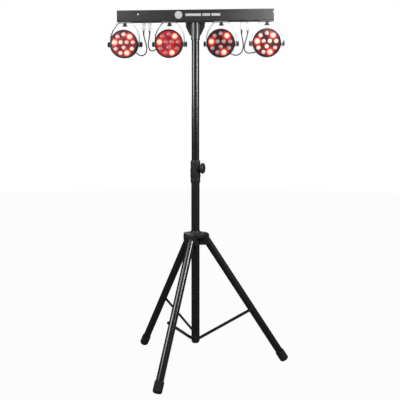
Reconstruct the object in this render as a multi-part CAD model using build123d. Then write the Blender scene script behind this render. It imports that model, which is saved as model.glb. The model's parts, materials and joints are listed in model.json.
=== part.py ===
from build123d import *
import math
import os

# A set of four round LED stage heads under a cross bar, on a telescopic mast with a folding tripod.
# Origin: on the floor, under the mast axis. +Z is up, X runs along the bar, and the heads face -Y.
# All sizes are in millimetres. An azimuth is counted from -Y towards +X, seen from above.

# --- Mast and stand -------------------------------------------------------------------------------
TUBE_R = 19.0                     # lower tube, outside
TUBE_BORE_R = 18.0
TUBE_LOW, TUBE_HIGH = 150.0, 944.5
MAST_R = 17.5                     # standard 35 mm mast
MAST_BORE_R = 16.3
MAST_LOW, MAST_HIGH = 700.0, 1549.0
COLLAR_R = 22.0
COLLAR_LOW, COLLAR_HIGH = 845.0, 948.0
LOCK_HEIGHT = 912.0               # axis of the mast lock knob
LOCK_AZIMUTH = 77.5
SLIDE_GAP = 0.3                   # between tubes that slide in one another
RUNNING_GAP = 0.1                 # between a pin and its hole
LOCK_STUD_R = 3.95                # the threaded stud of the two large lock knobs
LOCK_HOLE_R = 4.05
BASE_LOW, BASE_SPIGOT_HIGH = 107.0, 184.0

# --- Tripod ---------------------------------------------------------------------------------------
LEG_AZIMUTHS = (-16.5, 103.5, 223.5)
HUB_LOCK_AZIMUTH = 163.5          # midway between the two rear legs
PIVOT_RADIUS, PIVOT_HEIGHT = 45.0, 596.0
LEG_SPREAD = 32.8                 # degrees between a leg and the mast
LEG_R, LEG_WALL = 17.0, 1.2
KNUCKLE_R, KNUCKLE_HALF = 15.0, 16.8
LEG_START = 16.0                  # from the leg's pivot to the end of its tube
FOOT_R, FOOT_LENGTH, FOOT_ROUND, FOOT_BOTTOM = 20.5, 50.0, 9.0, 8.0
FOOT_END_HEIGHT = 6.2             # height of the middle of the foot's end
HUB_SLEEVE_R, HUB_LOW, HUB_HIGH, HUB_CONE_HIGH = 25.0, 565.0, 619.0, 629.0
HUB_CAP_R, HUB_CAP_LOW = 54.0, 600.0     # round cap that joins the three leg forks
HUB_OUTER_R = 63.0
HUB_LOCK_HEIGHT = 582.0
CHEEK_IN, CHEEK_OUT, CHEEK_BOSS = 17.5, 22.5, 25.0
BRACE_ALONG_LEG = 398.0           # from the leg's pivot to its brace
BRACE_FOOT_RADIUS, BRACE_FOOT_HEIGHT = 12.0, 132.0
BRACE_WIDTH, BRACE_THICK, BRACE_OFFSET = 13.5, 2.5, 21.0
BRACE_PIN_R, BRACE_HEAD_R = 3.0, 5.5
LEG_BOLT_R, LEG_BOLT_HEAD_R = 4.0, 7.0

# --- Bar ------------------------------------------------------------------------------------------
BAR_LENGTH, BAR_DEPTH, BAR_HEIGHT, BAR_WALL = 688.0, 56.0, 49.5, 1.5
BAR_BOTTOM = 1561.0
END_CAP = 2.5
PLUG_X = (-231.5, -204.5, 204.5, 231.5)
PLUG_LOW, PLUG_HIGH, PLUG_R = 1523.0, 1557.8, 8.2
SLEEVE_R, SLEEVE_LOW = 20.3, 1482.0
FLANGE_WIDTH, FLANGE_DEPTH, FLANGE_THICK = 84.5, 52.0, 4.3
FLANGE_TOP = BAR_BOTTOM - 0.2
FIN_HIGH, FIN_LOW, FIN_FOOT_HALF, FIN_THICK = 1538.5, 1501.0, 24.0, 4.0
ADAPTER_LOCK_HEIGHT = 1502.0
ADAPTER_STUD_R = 2.95
ADAPTER_SCREWS = [(x, y) for x in (-32, 32) for y in (-18, 18)]
ADAPTER_SCREW_R, ADAPTER_SCREW_HOLE_R, ADAPTER_SCREW_HEAD_R = 2.5, 2.7, 4.5
PANEL_HALF, PANEL_INSET = 75.0, 8.0     # the opening in the back of the bar, and its edge distance
INLET_X = -50.0                   # mains inlet on the rear panel
SIGNAL_X = (20.0, 54.0)           # signal sockets on the rear panel
OUTLET_R, OUTLET_NECK_R, OUTLET_HOLE_R = 9.4, 7.5, 7.7
HANGING_BOLT_R, HANGING_HOLE_R = 4.0, 4.2

# --- Heads ----------------------------------------------------------------------------------------
HEAD_X = (-316.0, -115.0, 115.0, 316.0)
HEAD_HEIGHT = 1463.5              # tilt axis
RIM_R, BODY_R, REAR_R, WALL = 62.5, 58.5, 46.0, 2.5
HEAD_FRONT, RIM_BACK, BODY_BACK, HEAD_BACK = -36.0, -25.0, 14.0, 34.0
YOKE_THICK, YOKE_WIDTH = 2.5, 26.0
YOKE_TOP = BAR_BOTTOM - 0.3
ARM_X = 65.3                      # middle of a yoke arm's sheet
HANG_LOW = 1543.5                 # underside of the nut that a yoke hangs on
LENS_R, LENS_DOME = 9.6, 2.4
LENS_COUNT_OUTER, LENS_COUNT_INNER = 9, 3
PIVOT_BOSS_R, PIVOT_BOSS_OUT, PIVOT_HOLE_R = 10.0, 63.7, 3.1
OUTER_RING_R, INNER_RING_R = 41.9, 15.4
GLAND_DROP, GLAND_TIP = 17.5, 46.0
CORD_R = 2.5

# The route of each lamp's cord, from its plug to the gland on the back of its head.
CORD_ROUTES = (
    [(-231.5, 0, 1523), (-231.5, 0, 1504), (-227, 7, 1483), (-221.5, 15, 1461), (-220.5, 23, 1440),
     (-229, 32, 1424), (-244, 43, 1417), (-260, 56, 1420), (-273, 70, 1430), (-289, 79, 1439),
     (-305.5, 75.5, 1444), (-316, 62, 1446), (-316, 46, 1446)],
    [(-204.5, 0, 1523), (-204.5, 0, 1504), (-209, 5, 1485), (-213, 12, 1467), (-212.5, 20, 1449),
     (-204, 31, 1436.5), (-190, 43, 1441), (-176, 56, 1451), (-160, 70, 1456), (-142, 79, 1454),
     (-125.5, 75.5, 1448), (-115, 62, 1446), (-115, 46, 1446)],
    [(204.5, 0, 1523), (204.5, 0, 1505), (207.5, 3, 1486), (211.5, 6, 1467), (212.5, 11, 1449),
     (208, 20, 1433), (196.5, 31, 1421), (181, 43, 1416), (167.5, 57, 1419), (154, 71, 1426),
     (137.5, 79, 1435), (123, 73.5, 1442), (115, 61, 1446), (115, 46, 1446)],
    [(231.5, 0, 1523), (231.5, 0, 1505), (226, 7, 1487), (219, 16, 1469), (215.5, 23, 1451),
     (218.5, 31, 1434), (231.5, 40, 1425), (248, 50, 1427), (263, 62, 1431), (278, 74, 1437),
     (293.5, 79, 1441), (307.5, 74, 1445), (316, 61, 1446), (316, 46, 1446)],
)

BOTTOM = (Align.CENTER, Align.CENTER, Align.MIN)


def save(name, shape):
    """Write one named piece."""
    export_step(shape, f"parts/{name}.step")


def rod(radius, low, high):
    """A solid cylinder about the Z axis."""
    return Pos(0, 0, low) * Cylinder(radius, high - low, align=BOTTOM)


def pipe(outer, inner, low, high):
    """A tube about the Z axis."""
    return rod(outer, low, high) - rod(inner, low - 1, high + 1)


def block(x0, x1, y0, y1, z0, z1):
    """A box between two corners."""
    return Pos((x0 + x1) / 2, (y0 + y1) / 2, (z0 + z1) / 2) * Box(x1 - x0, y1 - y0, z1 - z0)


def cross_rod(radius, x0, x1, y, z):
    """A solid cylinder along X."""
    return Pos(x0, y, z) * Rot(0, 90, 0) * Cylinder(radius, x1 - x0, align=BOTTOM)


def radial_rod(radius, inner, outer, z):
    """A solid cylinder along -Y, from one distance from the mast to another."""
    return Pos(0, -inner, z) * Rot(90, 0, 0) * Cylinder(radius, outer - inner, align=BOTTOM)


def turned(points):
    """A solid of revolution about Z from the (radius, height) corners of its profile."""
    outline = Plane.XZ * make_face(Polyline(*points, close=True))
    return revolve(outline, axis=Axis.Z)


def turned_at(azimuth, shape):
    """A shape built towards -Y, carried round the mast to its azimuth."""
    return Rot(0, 0, azimuth) * shape


def scalloped_knob(radius, thickness, scallops, depth):
    """A hand knob about Z, standing on z = 0, with hollows round its edge."""
    knob = turned([(0, 0), (radius - 2, 0), (radius, 2), (radius, thickness - 3),
                   (radius - 3, thickness), (0, thickness)])
    hollow = Cylinder(depth * 2, thickness * 3)
    for k in range(scallops):
        knob -= Rot(0, 0, 360 * k / scallops) * Pos(radius + depth, 0, 0) * hollow
    return knob


def radial_knob(radius, thickness, start, z, stud_r, stud_tip):
    """A hand knob on the end of a threaded stud that points at the mast."""
    knob = Pos(0, -start, z) * Rot(90, 0, 0) * scalloped_knob(radius, thickness, 8, 1.6)
    return knob + radial_rod(stud_r, stud_tip, start + 2, z)


# --- Stand ----------------------------------------------------------------------------------------
def make_column():
    """The lower tube, its base hub, and the mast collar, which do not move on one another."""
    stud_hole = turned_at(LOCK_AZIMUTH, radial_rod(LOCK_STUD_R + 0.55, 10, 30, LOCK_HEIGHT))
    save("lower_tube", pipe(TUBE_R, TUBE_BORE_R, TUBE_LOW, TUBE_HIGH) - stud_hole)

    spigot_r = TUBE_BORE_R - 0.1
    base = turned([(0, BASE_LOW), (TUBE_R - 5, BASE_LOW), (TUBE_R, BASE_LOW + 7), (TUBE_R, TUBE_LOW - 0.1),
                   (spigot_r, TUBE_LOW - 0.1), (spigot_r, BASE_SPIGOT_HIGH), (0, BASE_SPIGOT_HIGH)])
    bolts = []
    for azimuth in LEG_AZIMUTHS:
        ear = cross_rod(8, -BRACE_OFFSET + 1.4, -9, -BRACE_FOOT_RADIUS, BRACE_FOOT_HEIGHT)
        hole = cross_rod(BRACE_PIN_R + 0.05, -30, -4, -BRACE_FOOT_RADIUS, BRACE_FOOT_HEIGHT)
        base += turned_at(azimuth, ear)
        base -= turned_at(azimuth, hole)
        shank = cross_rod(BRACE_PIN_R, -23, -5, -BRACE_FOOT_RADIUS, BRACE_FOOT_HEIGHT)
        head = cross_rod(BRACE_HEAD_R, -25.6, -22.6, -BRACE_FOOT_RADIUS, BRACE_FOOT_HEIGHT)
        bolts.append(turned_at(azimuth, shank + head))
    save("base_hub", base)
    save("brace_foot_bolts", Compound(children=bolts))

    lip_bore = MAST_R + SLIDE_GAP
    collar = turned([(TUBE_R + 0.1, COLLAR_LOW), (COLLAR_R - 2, COLLAR_LOW), (COLLAR_R, COLLAR_LOW + 8),
                     (COLLAR_R, COLLAR_HIGH - 8), (COLLAR_R - 2.4, COLLAR_HIGH), (lip_bore, COLLAR_HIGH),
                     (lip_bore, TUBE_HIGH + 0.3), (TUBE_R + 0.1, TUBE_HIGH + 0.3)])
    boss_hole = radial_rod(LOCK_HOLE_R, 10, 40, LOCK_HEIGHT)
    boss = radial_rod(10, TUBE_R + 1.5, 27, LOCK_HEIGHT) - boss_hole
    collar += turned_at(LOCK_AZIMUTH, boss)
    collar -= turned_at(LOCK_AZIMUTH, boss_hole)
    save("mast_collar", collar)

    knob = radial_knob(24, 13, 28, LOCK_HEIGHT, LOCK_STUD_R, MAST_R + 0.4)
    save("mast_lock_knob", turned_at(LOCK_AZIMUTH, knob))


def make_leg_hub():
    """The sliding hub that the three legs pivot on, with its bolts and its lock knob."""
    hub = turned([(0, HUB_LOW), (HUB_SLEEVE_R, HUB_LOW), (HUB_SLEEVE_R, HUB_HIGH),
                  (TUBE_R + 1.8, HUB_CONE_HIGH), (0, HUB_CONE_HIGH)])
    hub += turned([(0, HUB_CAP_LOW), (HUB_CAP_R - 2, HUB_CAP_LOW), (HUB_CAP_R, HUB_CAP_LOW + 2),
                   (HUB_CAP_R, HUB_HIGH - 5), (HUB_CAP_R - 2, HUB_HIGH - 1.5), (HUB_CAP_R - 6, HUB_HIGH),
                   (0, HUB_HIGH)])
    with BuildSketch(Plane.YZ) as lobe_outline:
        with BuildLine():
            Polyline((-18, HUB_LOW), (-18, HUB_HIGH), (-48, HUB_HIGH), (-58, 616), (-64, 608),
                     (-64, 590), (-59, 572), (-48, HUB_LOW), (-18, HUB_LOW))
        make_face()
    with BuildSketch(Plane.YZ) as slot_outline:
        with BuildLine():
            Polyline((-26.5, HUB_LOW - 5), (-26.5, 612.5), (-53, 612.5), (-60.8, 606), (-60.8, 598),
                     (-80, 598), (-80, HUB_LOW - 5), (-26.5, HUB_LOW - 5))
        make_face()
    lobe = extrude(lobe_outline.sketch, amount=CHEEK_OUT, both=True)
    bosses = cross_rod(17, -CHEEK_BOSS, CHEEK_BOSS, -PIVOT_RADIUS, PIVOT_HEIGHT)
    slot = extrude(slot_outline.sketch, amount=CHEEK_IN, both=True)
    pin_hole = cross_rod(LEG_BOLT_R + 0.05, -30, 30, -PIVOT_RADIUS, PIVOT_HEIGHT)
    head_pocket = cross_rod(8, -30, -CHEEK_BOSS + 2, -PIVOT_RADIUS, PIVOT_HEIGHT)
    bolts = []
    for azimuth in LEG_AZIMUTHS:
        hub += turned_at(azimuth, lobe + bosses)
    hub &= rod(HUB_OUTER_R, HUB_LOW, HUB_CONE_HIGH)
    for azimuth in LEG_AZIMUTHS:
        hub -= turned_at(azimuth, slot + pin_hole + head_pocket)
        shank = cross_rod(LEG_BOLT_R, -24, CHEEK_BOSS - 1, -PIVOT_RADIUS, PIVOT_HEIGHT)
        head = cross_rod(LEG_BOLT_HEAD_R, -26.5, -CHEEK_BOSS + 1.9, -PIVOT_RADIUS, PIVOT_HEIGHT)
        bolts.append(turned_at(azimuth, shank + head))
    hub += turned_at(HUB_LOCK_AZIMUTH, radial_rod(10, 20, 36, HUB_LOCK_HEIGHT))
    hub -= rod(TUBE_R + SLIDE_GAP, HUB_LOW - 1, HUB_CONE_HIGH + 1)
    hub -= turned_at(HUB_LOCK_AZIMUTH, radial_rod(LOCK_HOLE_R, 10, 40, HUB_LOCK_HEIGHT))
    save("leg_hub", hub)
    save("leg_pivot_bolts", Compound(children=bolts))
    knob = radial_knob(16, 14, 38, HUB_LOCK_HEIGHT, LOCK_STUD_R, TUBE_R + 0.4)
    save("hub_lock_knob", turned_at(HUB_LOCK_AZIMUTH, knob))


def make_leg(number, azimuth):
    """One leg: its tube, the knuckle at its top, its rubber foot, and its brace."""
    spread = math.radians(LEG_SPREAD)
    down = (0, -math.sin(spread), -math.cos(spread))
    pivot = Vector(0, -PIVOT_RADIUS, PIVOT_HEIGHT)
    along = Plane(origin=pivot, x_dir=(1, 0, 0), z_dir=down)
    length = (PIVOT_HEIGHT - FOOT_END_HEIGHT) / math.cos(spread)

    knuckle = cross_rod(KNUCKLE_R, -KNUCKLE_HALF, KNUCKLE_HALF, 0, 0)
    knuckle += rod(LEG_R - LEG_WALL - 0.1, 8, LEG_START + 40)
    knuckle += rod(LEG_R, LEG_START - 3, LEG_START - 0.1)
    knuckle -= cross_rod(LEG_BOLT_R + RUNNING_GAP, -40, 40, 0, 0)
    tube = pipe(LEG_R, LEG_R - LEG_WALL, LEG_START, length - FOOT_BOTTOM - 0.2)
    shell = fillet(rod(FOOT_R, length - FOOT_LENGTH, length).edges().group_by(Axis.Z)[-1], FOOT_ROUND)
    foot = shell - rod(LEG_R + 0.1, length - FOOT_LENGTH - 1, length - FOOT_BOTTOM)
    below_floor = block(-60, 60, -600, 0, -60, 0)
    save(f"leg_knuckle_{number}", turned_at(azimuth, along * knuckle))
    save(f"leg_tube_{number}", turned_at(azimuth, along * tube))
    save(f"foot_{number}", turned_at(azimuth, (along * foot) - below_floor))

    outer = pivot + Vector(*down) * BRACE_ALONG_LEG
    inner = Vector(0, -BRACE_FOOT_RADIUS, BRACE_FOOT_HEIGHT)
    reach = (outer - inner).length
    rise = math.degrees(math.atan2(outer.Z - inner.Z, inner.Y - outer.Y))
    strap = extrude(SlotCenterToCenter(reach, BRACE_WIDTH), BRACE_THICK / 2, both=True)
    bead = extrude(SlotCenterToCenter(reach - 50, 5), 1)
    strap -= Pos(0, 0, BRACE_THICK / 2 - 0.8) * bead
    strap -= Pos(-reach / 2, 0, 0) * Cylinder(BRACE_PIN_R + RUNNING_GAP, 10)
    spacer = Cylinder(4.5, BRACE_OFFSET - LEG_R - 0.4, align=BOTTOM)
    strap += Pos(reach / 2, 0, 0) * Cylinder(BRACE_HEAD_R, 4, align=BOTTOM)
    strap += Pos(reach / 2, 0, 0) * Rot(180, 0, 0) * spacer
    lie = Plane(origin=(-BRACE_OFFSET, (inner.Y + outer.Y) / 2, (inner.Z + outer.Z) / 2),
                x_dir=(0, -math.cos(math.radians(rise)), math.sin(math.radians(rise))), z_dir=(-1, 0, 0))
    save(f"brace_{number}", turned_at(azimuth, lie * strap))
    return rise, reach


# --- Mast and bar ---------------------------------------------------------------------------------
def make_mast():
    """The inner tube that carries the bar."""
    save("mast_tube", pipe(MAST_R, MAST_BORE_R, MAST_LOW, MAST_HIGH))


def make_adapter():
    """The socket that sets the bar on the mast, with its screws and its lock knob."""
    flange_low = FLANGE_TOP - FLANGE_THICK
    socket = rod(SLEEVE_R, SLEEVE_LOW, flange_low)
    half = FLANGE_WIDTH / 2
    socket += block(-half, half, -FLANGE_DEPTH / 2, FLANGE_DEPTH / 2, flange_low, FLANGE_TOP)
    with BuildSketch(Plane.XZ) as fin_outline:
        with BuildLine():
            Polyline((-half, flange_low), (-half, FIN_HIGH), (-FIN_FOOT_HALF, FIN_LOW),
                     (FIN_FOOT_HALF, FIN_LOW), (half, FIN_HIGH), (half, flange_low), (-half, flange_low))
        make_face()
    socket += extrude(fin_outline.sketch, FIN_THICK / 2, both=True)
    rear = 180
    socket += turned_at(rear, radial_rod(9, SLEEVE_R - 2, 26, ADAPTER_LOCK_HEIGHT))
    socket -= rod(MAST_R + RUNNING_GAP, SLEEVE_LOW - 1, MAST_HIGH + 0.5)
    socket -= turned_at(rear, radial_rod(ADAPTER_STUD_R + RUNNING_GAP, 10, 30, ADAPTER_LOCK_HEIGHT))
    screw = rod(ADAPTER_SCREW_R, flange_low - 1, BAR_BOTTOM + 7)
    screw += rod(ADAPTER_SCREW_HEAD_R, flange_low - 2.8, flange_low - 0.1)
    screws = []
    for x, y in ADAPTER_SCREWS:
        socket -= Pos(x, y, 0) * rod(ADAPTER_SCREW_HOLE_R, flange_low - 1, FLANGE_TOP + 1)
        screws.append(Pos(x, y, 0) * screw)
    save("adapter_socket", socket)
    save("adapter_screws", Compound(children=screws))
    knob = radial_knob(15, 12, 27.5, ADAPTER_LOCK_HEIGHT, ADAPTER_STUD_R, MAST_R + 0.4)
    save("adapter_lock_knob", turned_at(rear, knob))


def make_housing():
    """The bar's housing, with its openings, and its two end caps."""
    half = BAR_LENGTH / 2
    top = BAR_BOTTOM + BAR_HEIGHT
    depth = BAR_DEPTH / 2
    outer = fillet(block(-half, half, -depth, depth, BAR_BOTTOM, top).edges().filter_by(Axis.X), 2)
    inside = block(-half - 1, half + 1, -depth + BAR_WALL, depth - BAR_WALL,
                   BAR_BOTTOM + BAR_WALL, top - BAR_WALL)
    housing = outer - inside
    housing -= block(-PANEL_HALF, PANEL_HALF, depth - 4, depth + 4,
                     BAR_BOTTOM + PANEL_INSET, top - PANEL_INSET)
    for x in HEAD_X:
        housing -= Pos(x, 0, 0) * rod(HANGING_HOLE_R, BAR_BOTTOM - 2, BAR_BOTTOM + 4)
    for x in PLUG_X:
        housing -= Pos(x, 0, 0) * rod(OUTLET_HOLE_R, BAR_BOTTOM - 2, BAR_BOTTOM + 4)
    for x, y in ADAPTER_SCREWS:
        housing -= Pos(x, y, 0) * rod(ADAPTER_SCREW_HOLE_R, BAR_BOTTOM - 2, BAR_BOTTOM + 4)
    save("bar_housing", housing)

    caps = []
    lip_in, lip_wall = 1.7, 4.0
    for side in (-1, 1):
        plate = block(0, END_CAP, -depth, depth, BAR_BOTTOM, top)
        plate = fillet(plate.edges().filter_by(Axis.X), 2)
        lip = block(-8, 0.5, -depth + lip_in, depth - lip_in, BAR_BOTTOM + lip_in, top - lip_in)
        lip -= block(-9, 0, -depth + lip_wall, depth - lip_wall, BAR_BOTTOM + lip_wall, top - lip_wall)
        cap = plate + lip
        caps.append(Pos(side * (half + 0.1), 0, 0) * (cap if side > 0 else Rot(0, 0, 180) * cap))
    save("bar_end_caps", Compound(children=caps))


def make_rear_panel():
    """The panel in the back of the bar, with the mains inlet and the two signal sockets."""
    gap = 0.2
    depth = BAR_DEPTH / 2
    half = PANEL_HALF - gap
    low = BAR_BOTTOM + PANEL_INSET + gap
    high = BAR_BOTTOM + BAR_HEIGHT - PANEL_INSET - gap
    middle = (low + high) / 2
    panel = block(-half, half, depth - 2.2, depth - 0.3, low, high)
    panel += block(INLET_X - 16, INLET_X + 16, depth - 14, depth + 1, middle - 13, middle + 13)
    panel -= block(INLET_X - 12, INLET_X + 12, depth - 11, depth + 2, middle - 9, middle + 9)
    for x in (INLET_X - 6, INLET_X + 1, INLET_X + 8):
        panel += Pos(x, 0, 0) * block(-1, 1, depth - 12, depth - 3, middle - 2, middle + 2)
    for x in SIGNAL_X:
        panel += Pos(x, depth + 1, middle) * Rot(90, 0, 0) * Cylinder(12, 14, align=BOTTOM)
        panel -= Pos(x, depth + 2, middle) * Rot(90, 0, 0) * Cylinder(9.5, 11, align=BOTTOM)
    save("rear_panel", panel)


def make_electronics():
    """The power supply and the control board, on their posts inside the bar."""
    floor = BAR_BOTTOM + BAR_WALL + 0.1
    supply = block(-192, -85, -18, 18, BAR_BOTTOM + 16, BAR_BOTTOM + 42)
    for x in (-187, -90):
        for y in (-14, 14):
            supply += Pos(x, y, 0) * rod(3, floor, BAR_BOTTOM + 17)
    save("power_supply", supply)
    board = block(85, 192, -20, 20, BAR_BOTTOM + 20, BAR_BOTTOM + 21.6)
    board += block(98, 118, -12, 8, BAR_BOTTOM + 21, BAR_BOTTOM + 25)
    board += block(135, 180, -16, -6, BAR_BOTTOM + 21, BAR_BOTTOM + 33)
    for x in (90, 187):
        for y in (-16, 16):
            board += Pos(x, y, 0) * rod(3, floor, BAR_BOTTOM + 21)
    save("control_board", board)


def make_bar_fittings():
    """The lamp outlets under the bar, the plugs in them, and the bolts that the yokes hang on."""
    outlet = turned([(0, PLUG_HIGH + 0.2), (OUTLET_R, PLUG_HIGH + 0.2), (OUTLET_R, BAR_BOTTOM - 0.1),
                     (OUTLET_NECK_R, BAR_BOTTOM - 0.1), (OUTLET_NECK_R, BAR_BOTTOM + 18),
                     (0, BAR_BOTTOM + 18)])
    plug = turned([(0, PLUG_LOW), (4.5, PLUG_LOW), (6.4, PLUG_LOW + 6), (PLUG_R, PLUG_LOW + 8),
                   (PLUG_R, PLUG_HIGH), (0, PLUG_HIGH)])
    save("lamp_outlets", Compound(children=[Pos(x, 0, 0) * outlet for x in PLUG_X]))
    save("lamp_plugs", Compound(children=[Pos(x, 0, 0) * plug for x in PLUG_X]))

    seat = BAR_BOTTOM + BAR_WALL
    bolt = extrude(Pos(0, 0, seat + 0.1) * RegularPolygon(7.5, 6), 5.3)
    bolt += rod(HANGING_BOLT_R, HANG_LOW + 2, seat + 1)
    save("hanging_bolts", Compound(children=[Pos(x, 0, 0) * bolt for x in HEAD_X]))


# --- Heads ----------------------------------------------------------------------------------------
def facing(shape):
    """A shape turned about Z, with its top towards the back of the head."""
    return Rot(-90, 0, 0) * shape


def head_shell():
    """The housing of a head, about the tilt axis's middle, with its pivot bosses and cord gland."""
    body = turned([(0, HEAD_FRONT), (RIM_R - 1.5, HEAD_FRONT), (RIM_R, HEAD_FRONT + 1.5), (RIM_R, RIM_BACK),
                   (BODY_R, RIM_BACK + 3), (BODY_R, BODY_BACK), (REAR_R, HEAD_BACK - 4),
                   (REAR_R - 4, HEAD_BACK), (0, HEAD_BACK)])
    cavity = turned([(0, HEAD_FRONT - 1), (56, HEAD_FRONT - 1), (56, -30), (53, -30), (53, -27),
                     (BODY_R - WALL, -27), (BODY_R - WALL, BODY_BACK - 1), (REAR_R - WALL, HEAD_BACK - 5),
                     (REAR_R - 6, HEAD_BACK - WALL), (0, HEAD_BACK - WALL)])
    body = facing(body)
    for x0, x1 in ((-PIVOT_BOSS_OUT, -50), (50, PIVOT_BOSS_OUT)):
        body += cross_rod(PIVOT_BOSS_R, x0, x1, 0, 0)
    gland = turned([(0, HEAD_BACK - 1), (8, HEAD_BACK - 1), (8, HEAD_BACK + 4), (4.5, GLAND_TIP),
                    (0, GLAND_TIP)])
    body += Pos(0, 0, -GLAND_DROP) * facing(gland)
    body -= facing(cavity)
    body -= cross_rod(PIVOT_HOLE_R, -70, 70, 0, 0)
    return body


def lens_places():
    """The (x, z) places of a head's lenses: nine round the edge and three in the middle."""
    places = []
    for k in range(LENS_COUNT_OUTER):
        angle = math.radians(90 + 360 / LENS_COUNT_OUTER * k)
        places.append((OUTER_RING_R * math.cos(angle), OUTER_RING_R * math.sin(angle)))
    for k in range(LENS_COUNT_INNER):
        angle = math.radians(30 + 360 / LENS_COUNT_INNER * k)
        places.append((INNER_RING_R * math.cos(angle), INNER_RING_R * math.sin(angle)))
    return places


def lens_plate():
    """The clear front plate with its domed lenses and the light guides behind them."""
    plate = facing(rod(55.8, -33, -30.1))
    lens = turned([(0, -33.5), (0, -33 - LENS_DOME), (LENS_R * 0.45, -33 - LENS_DOME * 0.8),
                   (LENS_R * 0.8, -33 - LENS_DOME * 0.4), (LENS_R, -32.9), (LENS_R, -30.2),
                   (8, -30.2), (4.2, -20.2), (0, -20.2)])
    for x, z in lens_places():
        plate += Pos(x, 0, z) * facing(lens)
    return plate


def led_board():
    """The round board behind the lenses, with an LED under each and a heat sink behind."""
    board = facing(rod(52.5, -18, -16.4))
    board += facing(rod(24, -17, 2))
    for x, z in lens_places():
        board += Pos(x, 0, z) * facing(rod(3.2, -19.9, -17))
    return board


def yoke():
    """The bent strip that a head hangs in, about the tilt axis's middle."""
    rise = YOKE_TOP - YOKE_THICK / 2 - HEAD_HEIGHT
    with BuildLine(Plane.XZ) as path:
        FilletPolyline((0, rise), (33, rise), (56.5, 60), (64.8, 37), (ARM_X, 0), radius=[20, 60, 30])
    start = Plane(origin=(0, 0, rise), x_dir=(0, 1, 0), z_dir=(1, 0, 0))
    half = sweep(start * Rectangle(YOKE_WIDTH, YOKE_THICK), path.wire())
    half += cross_rod(YOKE_WIDTH / 2, ARM_X - YOKE_THICK / 2, ARM_X + YOKE_THICK / 2, 0, 0)
    whole = half + mirror(half, Plane.YZ)
    whole -= cross_rod(PIVOT_HOLE_R, -80, 80, 0, 0)
    return whole - rod(HANGING_BOLT_R + RUNNING_GAP, rise - 5, rise + 5)


def tilt_knobs():
    """The two side knobs of a head, on the screws that clamp it in its yoke."""
    pair = []
    profile = turned([(0, 53), (3, 53), (3, 66.9), (12, 66.9), (12, 69.2), (4.5, 69.8), (4.5, 72), (0, 72)])
    grip = Pos(0, 0, 71.5) * scalloped_knob(12.3, 6.5, 7, 1.2)
    for side in (-1, 1):
        pair.append(Rot(0, 90 * side, 0) * (profile + grip))
    return Compound(children=pair)


def hang_knob():
    """The round nut under a yoke's top, on the hanging bolt."""
    top = YOKE_TOP - YOKE_THICK - 0.3
    knob = turned([(0, HANG_LOW), (10.8, HANG_LOW), (10.8, HANG_LOW + 2.5), (7.2, HANG_LOW + 7.5),
                   (7.2, top), (0, top)])
    return knob - rod(HANGING_BOLT_R + RUNNING_GAP, HANG_LOW + 1.5, top + 1)


def cord(route):
    """A lamp's cord: straight runs joined by arcs as large as the runs allow."""
    points = [Vector(*p) for p in route]
    radii = []
    for a, b, c in zip(points, points[1:], points[2:]):
        turn = math.radians((b - a).get_angle(c - b))
        radii.append(0.45 * min((b - a).length, (c - b).length) / math.tan(turn / 2))
    with BuildLine() as path:
        FilletPolyline(*points, radius=radii)
    line = path.wire()
    section = Plane(origin=points[0], z_dir=points[1] - points[0]) * Circle(CORD_R)
    solid = sweep(section, line)
    length = line.length
    print("cord", round(length, 1), "mm, radii", [round(r) for r in radii],
          "volume share", round(solid.volume / (math.pi * CORD_R ** 2 * length), 4))
    return solid


def make_heads():
    """The four heads, each with its yoke, knobs and cord."""
    pieces = {"head_shell": head_shell(), "lens_plate": lens_plate(), "led_board": led_board(),
              "yoke": yoke(), "tilt_knobs": tilt_knobs()}
    nut = hang_knob()
    for number, (x, route) in enumerate(zip(HEAD_X, CORD_ROUTES), start=1):
        for name, shape in pieces.items():
            save(f"{name}_{number}", Pos(x, 0, HEAD_HEIGHT) * shape)
        save(f"hang_knob_{number}", Pos(x, 0, 0) * nut)
        save(f"cord_{number}", cord(route))


os.makedirs("parts", exist_ok=True)
make_column()
make_leg_hub()
for number, azimuth in enumerate(LEG_AZIMUTHS, start=1):
    brace_rise, brace_reach = make_leg(number, azimuth)
print("brace rise", round(brace_rise, 3), "reach", round(brace_reach, 3))
make_mast()
make_adapter()
make_housing()
make_rear_panel()
make_electronics()
make_bar_fittings()
make_heads()
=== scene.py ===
import json
import math

import bmesh
import bpy
from bpy.props import FloatProperty, FloatVectorProperty, IntProperty, PointerProperty
from mathutils import Euler, Matrix, Vector


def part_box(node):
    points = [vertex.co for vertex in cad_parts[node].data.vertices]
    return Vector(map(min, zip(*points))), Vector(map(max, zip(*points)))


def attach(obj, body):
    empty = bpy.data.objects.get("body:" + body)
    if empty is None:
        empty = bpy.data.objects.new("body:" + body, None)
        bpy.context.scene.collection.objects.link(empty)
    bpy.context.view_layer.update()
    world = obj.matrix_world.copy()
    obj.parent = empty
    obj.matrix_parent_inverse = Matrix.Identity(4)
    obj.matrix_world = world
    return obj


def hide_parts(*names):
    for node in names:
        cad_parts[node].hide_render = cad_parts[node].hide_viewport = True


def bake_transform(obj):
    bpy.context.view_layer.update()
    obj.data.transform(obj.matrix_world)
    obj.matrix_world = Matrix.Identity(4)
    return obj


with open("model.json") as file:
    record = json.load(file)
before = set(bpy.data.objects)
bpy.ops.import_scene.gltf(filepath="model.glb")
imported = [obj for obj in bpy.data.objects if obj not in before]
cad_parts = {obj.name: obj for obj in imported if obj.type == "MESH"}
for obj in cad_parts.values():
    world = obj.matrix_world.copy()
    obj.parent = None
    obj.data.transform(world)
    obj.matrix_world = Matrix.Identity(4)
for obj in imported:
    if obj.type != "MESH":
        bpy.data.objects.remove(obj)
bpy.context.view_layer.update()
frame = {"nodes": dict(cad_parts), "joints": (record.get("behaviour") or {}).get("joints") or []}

bl_info = {
    "name": "Par can light set",
    "version": (1, 0, 0),
    "blender": (4, 5, 0),
    "location": "3D View > Sidebar > Par can light",
    "description": "Finishes a set of four stage heads on a bar, mast and tripod",
    "category": "Object",
}

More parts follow.
